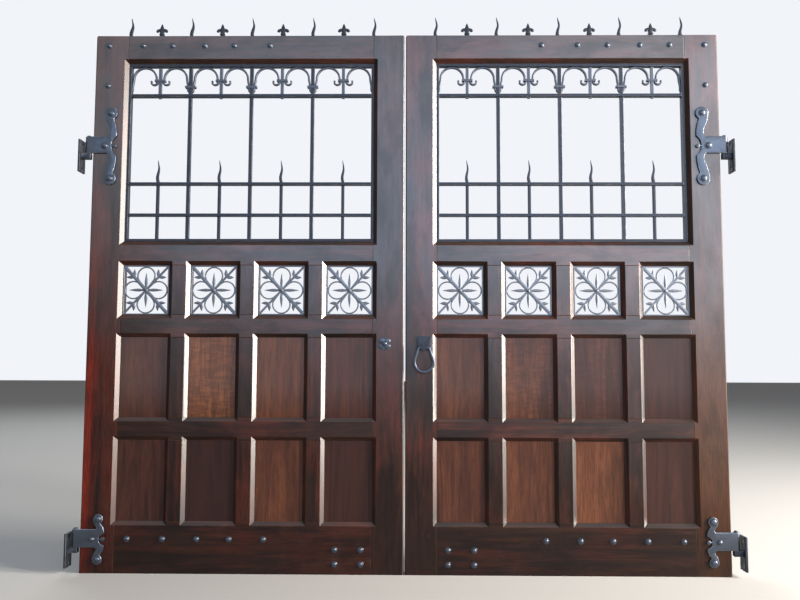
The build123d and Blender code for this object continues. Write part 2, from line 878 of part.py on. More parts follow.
def ring_plate():
    """Square plate of the ring pull with its bored boss, its shank and the nut behind."""
    face = front - pull_plate_thickness
    sheet = RectangleRounded(pull_plate_side, pull_plate_side, pull_plate_corner)
    body = Pos(pull_centre, 0, pull_height) * raise_front(sheet, face, pull_plate_thickness)
    boss_end = face - pull_pivot_stand - pull_boss_proud
    boss = Pos(pull_centre, (face + boss_end) / 2, pull_eye_height) * Rot(90, 0, 0)
    half_boss = (face - boss_end) / 2
    section = RegularPolygon(pull_boss_radius, pull_boss_facets, rotation=180 / pull_boss_facets)
    body += boss * extrude(section, amount=half_boss, both=True)
    eye = Pos(pull_centre, face - pull_pivot_stand, pull_eye_height) * Rot(0, 90, 0)
    body -= eye * Cylinder(ring_bar_radius + ring_clearance, pull_plate_side)
    body += across(pull_centre, pull_height, pull_shank, front, back + stud_nut_height)
    return body + across(pull_centre, pull_height, stud_nut_side, back, back + stud_nut_height)


def ring():
    """Pear-shaped drop ring, its two ends turned in to the boss from either side."""
    reach = hypot(ring_shoulder, ring_drop)
    round_start = degrees(asin(ring_drop / reach) - acos(ring_radius / reach))
    corner_turn = 90 - round_start
    corner_x = ring_shoulder - ring_bend * tan(radians(corner_turn / 2))
    corner = bow((corner_x, -ring_bend), ring_bend, 90, -corner_turn)
    half = [(ring_end_gap / 2, 0)] + corner
    round_end = bow((0, -ring_drop), ring_radius, round_start, -(180 + 2 * round_start), ring_facet_angle)
    path = half + round_end + [(-x, z) for x, z in reversed(half)]
    spot = Plane(origin=(ring_end_gap / 2, 0, 0), z_dir=(1, 0, 0))
    section = spot * RegularPolygon(ring_bar_radius, ring_bar_facets)
    tube = sweep(section, path=Polyline(*path), transition=Transition.RIGHT)
    pivot_y = front - pull_plate_thickness - pull_pivot_stand
    return Pos(pull_centre, pivot_y, pull_eye_height) * Rot(90, 0, 0) * tube


def rose():
    """Four-lobed rose under a dome-headed bolt on the meeting stile."""
    lobe = RegularPolygon(rose_lobe_radius, rose_facets)
    lobes = lobe
    for index in range(rose_lobes):
        lobes += Rot(0, 0, (index + 0.5) * 360 / rose_lobes) * Pos(rose_spread, 0) * lobe
    plate = Pos(rose_centre, 0, rose_height) * raise_front(lobes, front - rose_thickness, rose_thickness)
    hole = across(rose_centre, rose_height, stud_shank, front - rose_thickness - overcut, back + overcut)
    return [plate - hole, stud_bolt(rose_centre, rose_height, rose_thickness, 0.0)]


def leaf_nodes():
    """Every node of the right-hand leaf, by name."""
    nodes = {
        "hinge_stile": stile(x_hung, x_outer, x_outer),
        "meeting_stile": stile(x_meet, x_inner, x_meet),
        "top_rail": rail(*rail_levels[0], crested=True),
        "grille_rail": rail(*rail_levels[1]),
        "square_rail": rail(*rail_levels[2]),
        "panel_rail": rail(*rail_levels[3]),
        "bottom_rail": rail(*rail_levels[4]),
        "muntins": muntins(),
        "panels": panels(),
        "tenon_pegs": tenon_pegs(),
        "grille_frame": grille_frame(),
        "tall_bars": tall_bars(),
        "cross_bars": cross_bars(),
        "spear_bars": spear_bars(),
        "frieze_bars": frieze_bars(),
        "frieze_scrolls": frieze_scrolls(),
        "frieze_collars": frieze_collars(),
        "square_grilles": square_grilles(),
        "crest_flames": crest_flames(),
        "crest_fleurs": crest_fleurs(),
        "top_hinge": hinge(top_hinge_height, top_hinge_half, top_lobe_radius),
        "bottom_hinge": hinge(bottom_hinge_height, bottom_hinge_half, bottom_lobe_radius),
        "top_strap": top_strap(),
        "bottom_strap": bottom_strap(),
        "stud_bolts": stud_bolts(),
        "bolt_plate": bolt_plate(),
        "drop_bolt": drop_bolt(),
    }
    return nodes


def pieces(shape):
    """The separate solids of a node."""
    listed = shape if isinstance(shape, list) else [shape]
    return [solid for piece in listed for solid in piece.solids()]


def opposite(shape):
    """The same node on the left-hand leaf."""
    return [mirror(solid, Plane.YZ) for solid in pieces(shape)]


def gates():
    """Every node of the pair: two leaves, the pull and rose, and the pintles."""
    leaf = leaf_nodes()
    nodes = {}
    for name, shape in leaf.items():
        nodes["left_" + name] = opposite(shape)
        nodes["right_" + name] = pieces(shape)
    meeting = leaf["meeting_stile"]
    pull_hole = across(pull_centre, pull_height, pull_shank, front - overcut, back + overcut)
    rose_hole = across(rose_centre, rose_height, stud_shank, front - overcut, back + overcut)
    nodes["right_meeting_stile"] = pieces(meeting - pull_hole)
    nodes["left_meeting_stile"] = opposite(meeting - rose_hole)
    nodes["left_rose"] = opposite(rose())
    nodes["right_ring_plate"] = pieces(ring_plate())
    nodes["right_ring"] = pieces(ring())
    for name, height in (("upper_pintles", top_hinge_height), ("lower_pintles", bottom_hinge_height)):
        hook = pintle(height)
        nodes[name] = pieces(hook) + opposite(hook)
    return nodes


os.makedirs("parts", exist_ok=True)
for name, solids in gates().items():
    body = solids[0] if len(solids) == 1 else Compound(children=solids)
    body.label = name
    export_step(body, f"parts/{name}.step")
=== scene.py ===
from math import acos, asin, cos, degrees, hypot, pi, radians, sin, tan

import bmesh
import bpy
from mathutils import Matrix, Vector


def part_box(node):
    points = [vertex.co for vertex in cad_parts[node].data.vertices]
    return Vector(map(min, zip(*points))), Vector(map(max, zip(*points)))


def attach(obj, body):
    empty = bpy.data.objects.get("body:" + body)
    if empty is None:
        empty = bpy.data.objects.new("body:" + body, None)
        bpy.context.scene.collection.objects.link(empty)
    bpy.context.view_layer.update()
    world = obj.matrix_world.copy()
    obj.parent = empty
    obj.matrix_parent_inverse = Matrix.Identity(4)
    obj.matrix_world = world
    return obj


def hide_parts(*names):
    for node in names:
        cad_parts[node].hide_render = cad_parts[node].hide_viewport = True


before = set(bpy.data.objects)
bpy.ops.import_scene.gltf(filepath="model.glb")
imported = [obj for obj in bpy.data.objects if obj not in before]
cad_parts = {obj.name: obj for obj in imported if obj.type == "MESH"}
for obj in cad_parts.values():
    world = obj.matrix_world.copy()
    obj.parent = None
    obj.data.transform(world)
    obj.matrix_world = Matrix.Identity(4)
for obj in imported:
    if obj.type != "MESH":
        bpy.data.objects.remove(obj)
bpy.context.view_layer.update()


# Room for the gates
# A pale floor and open pale air. A wide soft panel and a smaller one stand far behind the viewer, two
# tall narrow ones at the right rake across the leaves and catch their chamfers, and one lights the backs.

class Shade:
    """A socket in a finish. Sums and products of sockets add their own Math nodes."""

    def __init__(self, tree, socket=None):
        self.tree = tree
        self.socket = socket

    def node(self, kind, settings=None, sockets=None, output=0):
        made = self.tree.nodes.new("ShaderNode" + kind)
        for name, value in (settings or {}).items():
            if name == "stops":
                self.set_stops(made.color_ramp, value)
            else:
                setattr(made, name, value)
        for name, value in (sockets or {}).items():
            if isinstance(value, Shade):
                self.tree.links.new(value.socket, made.inputs[name])
            else:
                made.inputs[name].default_value = value
        return Shade(self.tree, made.outputs[output]) if made.outputs else None

    def set_stops(self, ramp, stops):
        while len(ramp.elements) < len(stops):
            ramp.elements.new(1.0)
        for element, (place, level) in zip(ramp.elements, stops):
            element.position = place
            element.color = (level, level, level, 1.0)

    def maths(self, operation, *values):
        return self.node("Math", {"operation": operation}, dict(enumerate(values)))

    def mix(self, first, second):
        """Colour first where this value is 0, second where it is 1."""
        return self.node("Mix", {"data_type": "RGBA"}, {0: self, 6: first, 7: second}, output=2)

    def steps(self, *stops):
        return self.node("ValToRGB", {"stops": stops}, {"Fac": self})

    def __add__(self, other):
        return self.maths("ADD", self, other)

    def __sub__(self, other):
        return self.maths("SUBTRACT", self, other)

    def __mul__(self, other):
        return self.maths("MULTIPLY", self, other)

    def __rsub__(self, other):
        return self.maths("SUBTRACT", other, self)

    __radd__ = __add__
    __rmul__ = __mul__


def tint(red, green, blue):
    """A colour as mixed on the bench, 0 to 255, made ready for the shader by the sRGB curve."""
    levels = [value / 255 for value in (red, green, blue)]
    linear = [v / 12.92 if v <= 0.04045 else ((v + 0.055) / 1.055) ** 2.4 for v in levels]
    return (*linear, 1.0)


def new_finish(name):
    finish = bpy.data.materials.new(name)
    finish.use_nodes = True
    finish.node_tree.nodes.clear()
    return finish, Shade(finish.node_tree)


air_tint = (0.93, 0.95, 1.0, 1.0)
air_seen = 0.95
air_light = 0.12
floor_size = 60.0
floor_tint = tint(192, 190, 187)

air = bpy.data.worlds.new("pale_air")
bpy.context.scene.world = air
air.use_nodes = True
air.node_tree.nodes.clear()
sky = Shade(air.node_tree)
seen = sky.node("LightPath", output="Is Camera Ray")
mirrored = sky.node("LightPath", output="Is Glossy Ray")
passed = sky.node("LightPath", output="Is Transmission Ray")
shown = sky.maths("MAXIMUM", seen, sky.maths("MAXIMUM", mirrored, passed))
strength = air_light + shown * (air_seen - air_light)
glow = sky.node("Background", {}, {"Color": air_tint, "Strength": strength})
sky.node("OutputWorld", {}, {"Surface": glow})

floor_mesh = bmesh.new()
bmesh.ops.create_grid(floor_mesh, x_segments=4, y_segments=4, size=floor_size / 2)
floor_data = bpy.data.meshes.new("floor")
floor_mesh.to_mesh(floor_data)
floor_mesh.free()
floor = bpy.data.objects.new("floor", floor_data)
bpy.context.scene.collection.objects.link(floor)
floor_finish, ground = new_finish("floor")
matt = ground.node("BsdfPrincipled", {}, {
    "Base Color": floor_tint, "Roughness": 0.9, "Specular IOR Level": 0.2,
})
ground.node("OutputMaterial", {}, {"Surface": matt})
floor_data.materials.append(floor_finish)


def soft_lamp(name, place, aim, wide, high, watts, colour):
    data = bpy.data.lights.new(name, "AREA")
    data.shape = "RECTANGLE"
    data.size = wide
    data.size_y = high
    data.energy = watts
    data.color = colour
    lamp = bpy.data.objects.new(name, data)
    lamp.location = place
    lamp.rotation_euler = (Vector(aim) - Vector(place)).to_track_quat("-Z", "Y").to_euler()
    lamp.visible_camera = False
    bpy.context.scene.collection.objects.link(lamp)


soft_lamp(
    "wide_panel", place=(1.6, -12.0, 4.4), aim=(0.2, 0.0, 1.2),
    wide=13.0, high=5.8, watts=465.0, colour=(0.41, 0.65, 1.0),
)
soft_lamp(
    "side_panel", place=(5.7, -12.0, 4.6), aim=(0.8, 0.0, 1.2),
    wide=6.6, high=5.4, watts=240.0, colour=(0.96, 0.97, 1.0),
)
soft_lamp(
    "raking_strip", place=(5.4, -2.6, 2.3), aim=(-0.1, 0.0, 1.0),
    wide=0.6, high=4.0, watts=500.0, colour=(1.0, 0.93, 0.84),
)
soft_lamp(
    "edge_strip", place=(5.9, -1.15, 2.2), aim=(0.3, 0.0, 1.0),
    wide=0.9, high=3.8, watts=720.0, colour=(1.0, 0.94, 0.86),
)
soft_lamp(
    "back_panel", place=(-2.5, 7.5, 7.5), aim=(0.0, 0.0, 1.0),
    wide=7.0, high=3.0, watts=420.0, colour=(0.90, 0.95, 1.0),
)

view_data = bpy.data.cameras.new("viewer")
view_data.sensor_width = 36.0
view_data.lens = 35.3
viewer = bpy.data.objects.new("viewer", view_data)
viewer.location = (0.019, -3.088, 0.809)
viewer.rotation_euler = (radians(94.525), radians(-0.164), radians(0.685))
bpy.context.scene.collection.objects.link(viewer)
bpy.context.scene.camera = viewer
bpy.context.scene.view_settings.view_transform = "Standard"


# Timber frame of each leaf
# Two stiles, five rails and nine muntins of oak, planed, chamfered round every opening and stained
# dark, with the arrises worn soft. The stain has thinned to red or tan in patches and on the hinge stiles.

front_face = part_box("right_top_rail")[0].y
back_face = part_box("right_top_rail")[1].y
sunk_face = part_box("right_panels")[0].y
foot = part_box("right_bottom_rail")[0].z
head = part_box("right_top_rail")[1].z
arris = 0.0016
shortest_arris = 0.03
weld = 0.00001
flat_within = 0.5
crease = 24.0
flat_slack = 0.0001
# Chamfer coats by facing: thick towards the lamps at the right as a painted highlight, thin elsewhere as
# painted shade.
chamfer_lean = (-0.9, -0.4)
upward_share = 0.6
chamfer_highlights = ((0.5, 1.0), (0.2, 0.5), (-1.0, 0.08))
stain_dark = tint(22, 13, 10)
stain_brown = tint(62, 36, 25)
stain_red = tint(92, 30, 16)
stain_fresh = tint(138, 38, 18)
stain_tan = tint(74, 44, 24)
stain_worn = tint(112, 84, 66)
dust = tint(104, 92, 82)
usual_red = 0.35
grain_draw = 0.055
mottle_draw = 0.35


def bench_copy(node):
    """The node's own form as a merged mesh of flat faces, ready to be worked on."""
    piece = bmesh.new()
    piece.from_mesh(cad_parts[node].data)
    bmesh.ops.remove_doubles(piece, verts=piece.verts, dist=weld)
    bmesh.ops.dissolve_limit(piece, angle_limit=radians(flat_within), verts=piece.verts, edges=piece.edges)
    return piece


def soften(piece, radius, segments=2, shortest=0.0, chosen=None):
    """Rounds the outer corners over and marks the new faces as worn."""
    worn = piece.faces.layers.float.new("worn")
    corners = [
        edge for edge in piece.edges
        if len(edge.link_faces) == 2 and edge.is_convex and edge.calc_face_angle(0) > radians(crease)
        and edge.calc_length() > shortest and (chosen is None or chosen(edge))
    ]
    made = bmesh.ops.bevel(
        piece, geom=corners, offset=radius, offset_type="OFFSET", segments=segments,
        profile=0.5, affect="EDGES", material=-1, clamp_overlap=False,
    )
    for face in made["faces"]:
        face[worn] = 1.0
    return piece


def mark_chamfer_highlights(piece):
    """Coats each chamfer by its facing: thick towards the light at the right, a painted highlight; half
    upwards; thin elsewhere, painted shade.
    """
    chamfer = piece.faces.layers.float.new("chamfer")
    for face in piece.faces:
        if chamfer_lean[0] < face.normal.y < chamfer_lean[1]:
            facing = max(face.normal.x, face.normal.z * upward_share)
            face[chamfer] = next(sheen for least, sheen in chamfer_highlights if facing > least)
    return piece


def set_up(piece, name, body, finish, nodes, smooth=None):
    """Turns the worked mesh into a piece of the scene that stands for its nodes."""
    data = bpy.data.meshes.new(name)
    piece.to_mesh(data)
    piece.free()
    if smooth is not None:
        data.shade_smooth()
        data.set_sharp_from_angle(angle=radians(smooth))
    data.materials.append(finish)
    made = bpy.data.objects.new(name, data)
    bpy.context.scene.collection.objects.link(made)
    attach(made, body)
    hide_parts(*nodes)


def laid(finish, place, shift=(0.0, 0.0, 0.0), stretch=(1.0, 1.0, 1.0)):
    """The place on a piece, stretched and shifted before a pattern is laid there."""
    return finish.node("Mapping", {}, {"Vector": place, "Location": shift, "Scale": stretch})


def cloudy(finish, place, scale, detail, roughness, distortion=0.0):
    """An uneven pattern, from 0 to 1, at a place."""
    return finish.node("TexNoise", {}, {
        "Vector": place, "Scale": scale, "Detail": detail, "Roughness": roughness, "Distortion": distortion,
    })


def mark_of(finish, mark):
    """A mark that the work on the bench left on the faces."""
    return finish.node("Attribute", {"attribute_name": mark}, output="Fac")


def along_axis(finish, place, axis):
    """How far a place lies along one axis of the gates, in metres."""
    return finish.node("SeparateXYZ", {}, {"Vector": place}, output=axis)


def drawn_out(along, share):
    """A stretch that draws a pattern out along the grain."""
    return (share, 1.0, 1.0) if along == "X" else (1.0, 1.0, share)


def timber_finish(name, along, seed, red=usual_red, edge=None):
    """Stained oak with its grain along one axis of the leaf, and a faded edge where one is given."""
    finish, wood = new_finish(name)
    place = wood.node("TexCoord", output="Object")
    grained = laid(wood, place, (seed, seed * 0.7, seed * 1.3), drawn_out(along, grain_draw))
    shifted = laid(wood, place, (seed * 2.1, seed, seed * 0.4))
    spread = laid(wood, place, (seed * 0.6, seed, seed * 1.9), drawn_out(along, mottle_draw))
    figure = cloudy(wood, grained, scale=34.0, detail=5.0, roughness=0.62, distortion=0.6)
    pores = cloudy(wood, grained, scale=260.0, detail=3.0, roughness=0.6)
    clouds = cloudy(wood, shifted, scale=2.6, detail=4.0, roughness=0.55)
    rubs = cloudy(wood, shifted, scale=17.0, detail=6.0, roughness=0.7)
    mottles = cloudy(wood, spread, scale=11.0, detail=5.0, roughness=0.68, distortion=0.4)
    height = along_axis(wood, place, "Z") * (1 / head)
    outward = along_axis(wood, place, "X")
    edges = mark_of(wood, "worn")
    chamfer = mark_of(wood, "chamfer")

    bands = figure.steps((0.34, 0.0), (0.66, 1.0))
    thin = (clouds + (figure - 0.5) * 0.7).steps((0.44, 0.0), (0.62, 1.0))
    body = bands.mix(stain_dark, stain_brown)
    body = (thin * red).mix(body, stain_red)
    if edge:
        bare = height.steps((0.42, 1.0), (0.60, 0.1)) * (edge["even"] + thin * (1.0 - edge["even"]))
        near_edge = (outward * edge["rise"] - edge["start"]).steps((0.0, 0.0), (1.0, 0.9))
        body = (near_edge * bare).mix(body, edge["stain"])
    body = mottles.steps((0.40, 0.25 if edge else 0.6), (0.52, 0.0)).mix(body, stain_dark)
    streak = pores.steps((0.40, 1.0), (0.55, 0.0)) * 0.5
    body = streak.mix(body, stain_dark)
    low = height.steps((0.04, 0.45), (0.15, 0.0))
    body = low.mix(body, stain_dark)
    rubbed = rubs.steps((0.50, 0.0), (0.72, 1.0))
    body = ((rubbed * 0.25 + 0.1) * edges).mix(body, stain_worn)
    settled = (rubs + (clouds - 0.5)).steps((0.62, 0.0), (0.98, 0.15))
    body = settled.mix(body, dust)
    gloss = 0.42 + rubbed * 0.12 + pores * 0.10 + settled * 0.2
    relief = figure * 0.5 + pores * 0.35 + rubs * 0.15
    bump = wood.node("Bump", {}, {"Strength": 0.3, "Distance": 0.0012, "Height": relief})

    # Painted sheen: the coat grows with height and towards the right and thins at the far left, so the
    # reflected sheen shows where the light falls.
    far_left = wood.maths("MAXIMUM", outward * -1.0 - 0.9, 0.0)
    sheen_placed = (height + outward * 0.06 - far_left * 0.4).steps((0.18, 0.08), (0.57, 1.0))
    uneven = 0.6 + mottles.steps((0.35, 0.0), (0.65, 1.0)) * 0.3 + clouds * 0.3
    sheen_film = sheen_placed * uneven
    # On the chamfers the coat comes from their marks: a painted highlight towards the light, painted shade
    # elsewhere. Dust and worn arrises thin it.
    on_chamfer = chamfer.steps((0.0, 0.0), (0.05, 1.0))
    varnish_and_sheen = sheen_film * (1.0 - on_chamfer) + chamfer * on_chamfer - settled * 0.5 - edges * 0.4
    surface = wood.node("BsdfPrincipled", {}, {
        "Base Color": body, "Roughness": gloss, "Normal": bump, "IOR": 1.5, "Specular IOR Level": 0.12,
        "Coat Roughness": 0.28, "Coat IOR": 1.8, "Coat Weight": varnish_and_sheen,
    })
    wood.node("OutputMaterial", {}, {"Surface": surface})
    return finish


def on_show(edge):
    """Whether an edge of a timber member lies where it can be seen and worn."""
    depths = [vert.co.y for vert in edge.verts]
    heights = [vert.co.z for vert in edge.verts]
    levels = [(depths, depth) for depth in (front_face, sunk_face, back_face)]
    levels += [(heights, height) for height in (head, foot)]
    return any(all(abs(value - level) < flat_slack for value in values) for values, level in levels)


upright_members = ("hinge_stile", "meeting_stile", "muntins")
level_members = ("top_rail", "grille_rail", "square_rail", "panel_rail", "bottom_rail")
first_seed = 1.7
member_seed = 3.1
leaf_seed = 17.0
redness = {"left_hinge_stile": 0.45, "right_meeting_stile": 0.5, "right_hinge_stile": 0.5}
faded_edges = {
    "left_hinge_stile": {"rise": -15.0, "start": 17.8, "even": 0.4, "stain": stain_fresh},
    "right_hinge_stile": {"rise": 14.0, "start": 15.0, "even": 0.85, "stain": stain_tan},
}
for leaf_index, leaf in enumerate(("left", "right")):
    for index, member in enumerate(upright_members + level_members):
        node = f"{leaf}_{member}"
        along = "Z" if member in upright_members else "X"
        seed = first_seed + member_seed * index + leaf_seed * leaf_index
        red = redness.get(node, usual_red)
        oak = timber_finish(f"{node}_stain", along, seed, red, faded_edges.get(node))
        worked = soften(mark_chamfer_highlights(bench_copy(node)), arris, 2, shortest_arris, on_show)
        set_up(worked, f"{node}_oak", f"{leaf}_leaf", oak, [node])


# Panels and pegs
# Sixteen thin oak boards are held dry in the grooves of the frame. Each is its own board and took the
# stain its own way, from near black to a fox brown, and three have ripple figure. Two oak pegs go
# through the tenon at each end of the bottom rail.

panel_black = tint(28, 19, 17)
panel_dark = tint(44, 24, 19)
panel_brown = tint(80, 44, 33)
panel_fox = tint(128, 78, 48)
panel_seed = 2.0
tenths = 10
peg_arris = 0.0006
peg_seed = 8.8
peg_red = 0.1


def panel_finish(name):
    """Stained oak board, which reads from each board's own marks how warm it is and how rippled."""
    finish, wood = new_finish(name)
    place = wood.node("TexCoord", output="Object")
    board = mark_of(wood, "board")
    jump = wood.node("CombineXYZ", {}, {"X": board * 37.0, "Y": board * 11.0, "Z": board * 53.0})
    moved = wood.node("VectorMath", {"operation": "ADD"}, {0: place, 1: jump})
    grained = laid(wood, moved, (panel_seed, 0.0, 0.0), (1.0, 1.0, 0.07))
    drawn = laid(wood, moved, stretch=(1.0, 1.0, 0.35))
    rippled = laid(wood, moved, stretch=(0.25, 1.0, 1.0))
    figure = cloudy(wood, grained, scale=30.0, detail=5.0, roughness=0.6, distortion=1.1)
    pores = cloudy(wood, grained, scale=240.0, detail=3.0, roughness=0.6)
    clouds = cloudy(wood, drawn, scale=10.0, detail=5.0, roughness=0.62)
    ripple = cloudy(wood, rippled, scale=95.0, detail=2.0, roughness=0.5)
    warmth = mark_of(wood, "warmth")
    rippling = mark_of(wood, "ripple")

    bands = figure.steps((0.32, 0.0), (0.68, 1.0))
    body = bands.mix(panel_dark, panel_brown)
    warm = (warmth + (clouds - 0.5) * 0.9).steps((0.25, 0.0), (0.95, 1.0))
    body = (warm * (0.45 + bands * 0.55)).mix(body, panel_fox)
    body = (0.1 - warmth).steps((0.0, 0.0), (0.5, 0.8)).mix(body, panel_black)
    cross = ripple.steps((0.42, 0.0), (0.58, 1.0)) * rippling
    body = (cross * 0.35).mix(body, panel_dark)
    streak = pores.steps((0.40, 1.0), (0.55, 0.0)) * 0.4
    body = streak.mix(body, panel_dark)
    relief = figure * 0.4 + pores * 0.4 + cross * 0.3
    bump = wood.node("Bump", {}, {"Strength": 0.35, "Distance": 0.001, "Height": relief})
    gloss = 0.34 + pores * 0.12 + clouds * 0.12

    level = along_axis(wood, place, "Z")
    outward = along_axis(wood, place, "X")
    # Painted sheen: a coat on the upper panels, heavier to the left, stands in for the sheen of the light on
    # them.
    sheen_film = level.steps((0.60, 0.0), (0.72, 1.0)) * (0.30 - outward * 0.10)
    surface = wood.node("BsdfPrincipled", {}, {
        "Base Color": body, "Roughness": gloss, "Normal": bump, "Specular IOR Level": 0.2,
        "Coat Roughness": 0.35, "Coat IOR": 1.8, "Coat Weight": sheen_film,
    })
    wood.node("OutputMaterial", {}, {"Surface": surface})
    return finish


def span_of(group):
    """Lowest and highest corner of a group of faces."""
    points = [vert.co for face in group for vert in face.verts]
    low = Vector(min(p[i] for p in points) for i in range(3))
    high = Vector(max(p[i] for p in points) for i in range(3))
    return low, high


def separate_solids(piece):
    """The faces of each loose solid in a mesh, from left to right, and from the foot up where they stack."""
    waiting = set(piece.faces)
    groups = []
    while waiting:
        group, reached = set(), [waiting.pop()]
        while reached:
            face = reached.pop()
            group.add(face)
            for edge in face.edges:
                for other in edge.link_faces:
                    if other in waiting:
                        waiting.discard(other)
                        reached.append(other)
        groups.append(group)
    return sorted(groups, key=lambda group: span_of(group)[0].xz.to_tuple(3))


warm_boards = {
    "left": (0.25, 0.35, -0.25, 1.30, 0.40, 0.60, -0.15, 0.10),
    "right": (0.33, 0.33, 0.48, 0.42, 0.62, 0.20, -0.20, -0.25),
}
rippled_boards = {"left": (3,), "right": (3, 5)}
for leaf in ("left", "right"):
    boards = bench_copy(f"{leaf}_panels")
    marks = {name: boards.faces.layers.float.new(name) for name in ("board", "warmth", "ripple")}
    for index, group in enumerate(separate_solids(boards)):
        for face in group:
            face[marks["board"]] = (index + 1) / tenths
            face[marks["warmth"]] = warm_boards[leaf][index]
            face[marks["ripple"]] = 1.0 if index in rippled_boards[leaf] else 0.0
    board_stain = panel_finish(f"{leaf}_panel_stain")
    set_up(boards, f"{leaf}_panel_boards", f"{leaf}_leaf", board_stain, [f"{leaf}_panels"])
    pegs = soften(bench_copy(f"{leaf}_tenon_pegs"), peg_arris, 1)
    peg_stain = timber_finish(f"{leaf}_peg_stain", "Z", peg_seed, peg_red)
    set_up(pegs, f"{leaf}_oak_pegs", f"{leaf}_leaf", peg_stain, [f"{leaf}_tenon_pegs"])


# Iron bars of the tall grille
# Square and flat bars of wrought iron, the cross bars punched so that the uprights pass through them.
# Each is painted dark over its hammer marks, rubbed on the corners, and rust bleeds through in places.

iron_black = tint(52, 55, 62)
iron_blue = tint(76, 82, 92)
# The grey and the pale paint are the black paint lightened as painted light, for the light that the frieze
# and the lace catch.
lit_iron_grey = tint(84, 88, 98)
lit_iron_pale = tint(104, 108, 116)
iron_rubbed = tint(150, 158, 170)
iron_rust = tint(72, 44, 30)
bar_rub = 0.0008
shortest_rub = 0.004


def iron_finish(name, hammered, rusted=0.3, shine=0.36, paint=iron_black):
    """Painted wrought iron. A lower shine value gives a glossier paint."""
    finish, iron = new_finish(name)
    place = iron.node("TexCoord", output="Object")
    blows = iron.node("TexVoronoi", {"feature": "SMOOTH_F1"}, {
        "Vector": place, "Scale": 95.0, "Smoothness": 0.8,
    }, output="Distance")
    scale = cloudy(iron, place, scale=420.0, detail=4.0, roughness=0.65)
    clouds = cloudy(iron, place, scale=22.0, detail=5.0, roughness=0.6)
    edges = mark_of(iron, "worn")
    rubbed = (clouds + (scale - 0.5) * 0.4).steps((0.44, 0.1), (0.66, 0.8))
    body = (edges * rubbed).mix(paint, iron_rubbed)
    bleeding = (clouds * 0.6 + scale * 0.4).steps((0.56, 0.0), (0.66, 1.0)) * rusted
    body = bleeding.mix(body, iron_rust)
    metal = 0.8 - bleeding * 0.6
    gloss = shine + scale * 0.12 + bleeding * 0.3
    relief = blows * (0.7 * hammered) + scale * 0.3
    bump = iron.node("Bump", {}, {"Strength": 0.4, "Distance": 0.0012, "Height": relief})
    surface = iron.node("BsdfPrincipled", {}, {
        "Base Color": body, "Metallic": metal, "Roughness": gloss, "Normal": bump,
    })
    iron.node("OutputMaterial", {}, {"Surface": surface})
    return finish


bar_paint = iron_finish("bar_paint", hammered=0.5)
# The frieze takes the lightened grey, painted light for the light it catches.
frieze_paint = iron_finish("frieze_paint", hammered=0.7, rusted=0.2, shine=0.40, paint=lit_iron_grey)
for leaf in ("left", "right"):
    for member in ("grille_frame", "tall_bars", "cross_bars", "frieze_bars", "frieze_collars"):
        node = f"{leaf}_{member}"
        worked = soften(bench_copy(node), bar_rub, 2, shortest_rub)
        paint = frieze_paint if "frieze" in member else bar_paint
        set_up(worked, f"{node}_iron", f"{leaf}_leaf", paint, [node])


# Arched frieze
# Eight half rounds of flat bar in each leaf. One end of each is turned out into a hook beside the
# short bar, the other runs down beside the tall bar to a small foot, and collars clip them on.

scroll_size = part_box("right_frieze_scrolls")
frieze_middle = (scroll_size[0].y + scroll_size[1].y) / 2
scroll_wide = 0.008
scroll_deep = 0.012
scroll_leg = 0.094
scroll_radius = 0.046
scroll_gap = 0.0047
leg_start = 0.012
leg_bend = 0.006
leg_run = 0.022
leg_lean = 10.0
hook_bend = 0.001
hook_run = 0.010
hook_lean = 24.0
hook_radius = 0.0135
hook_turn = 140.0
curl_radius = 0.0075
curl_turn = 55.0
curl_swell = 0.0035
curl_end = 0.0030
foot_radius = 0.012
foot_turn = 75.0


def in_plane(angle, size=3):
    """A turn in the plane of the leaf, in degrees."""
    return Matrix.Rotation(radians(angle), size, "Y")


class Forging:
    """A bar on the anvil, lying in the plane of the leaf: its end is drawn out or bent, step by step."""

    def __init__(self, piece, start, heading, wide, deep, rounded=0.25):
        self.piece = piece
        self.end = Vector(start)
        self.heading = heading
        before = set(piece.verts)
        bmesh.ops.create_grid(piece, x_segments=1, y_segments=1, size=0.5)
        corners = [vert for vert in piece.verts if vert not in before]
        bmesh.ops.scale(piece, vec=(wide, deep, 1.0), verts=corners)
        bmesh.ops.bevel(
            piece, geom=corners, offset=min(wide, deep) * rounded, segments=2,
            profile=0.5, affect="VERTICES", material=-1, clamp_overlap=True,
        )
        ring = [vert for vert in piece.verts if vert not in before]
        bmesh.ops.rotate(piece, verts=ring, cent=(0, 0, 0), matrix=in_plane(90 - heading))
        bmesh.ops.translate(piece, verts=ring, vec=self.end)
        self.face = next(face for face in ring[0].link_faces)

    def along(self):
        return Vector((cos(radians(self.heading)), 0.0, sin(radians(self.heading))))

    def step(self, length, turn=0.0, wide=1.0, deep=1.0):
        """Pushes the end on by length, turns it, and makes it wider or narrower."""
        made = bmesh.ops.extrude_face_region(self.piece, geom=[self.face])["geom"]
        self.face = next(item for item in made if isinstance(item, bmesh.types.BMFace))
        ring = list(self.face.verts)
        self.heading += turn / 2
        move = self.along() * length
        self.heading += turn / 2
        bmesh.ops.translate(self.piece, verts=ring, vec=move)
        self.end += move
        bmesh.ops.rotate(self.piece, verts=ring, cent=self.end, matrix=in_plane(-turn))
        if wide != 1.0 or deep != 1.0:
            square_on = in_plane(self.heading - 90, 4) @ Matrix.Translation(-self.end)
            bmesh.ops.scale(self.piece, vec=(wide, deep, 1.0), verts=ring, space=square_on)

    def bend(self, radius, turn, count, wide=1.0, deep=1.0):
        """Bends the bar round a radius, to the left if turn is positive, and draws it down on the way."""
        chord = 2 * radius * sin(radians(abs(turn) / count / 2))
        for _ in range(count):
            self.step(chord, turn / count, wide ** (1 / count), deep ** (1 / count))


def pattern_of(piece):
    data = bpy.data.meshes.new("pattern")
    piece.to_mesh(data)
    piece.free()
    return data


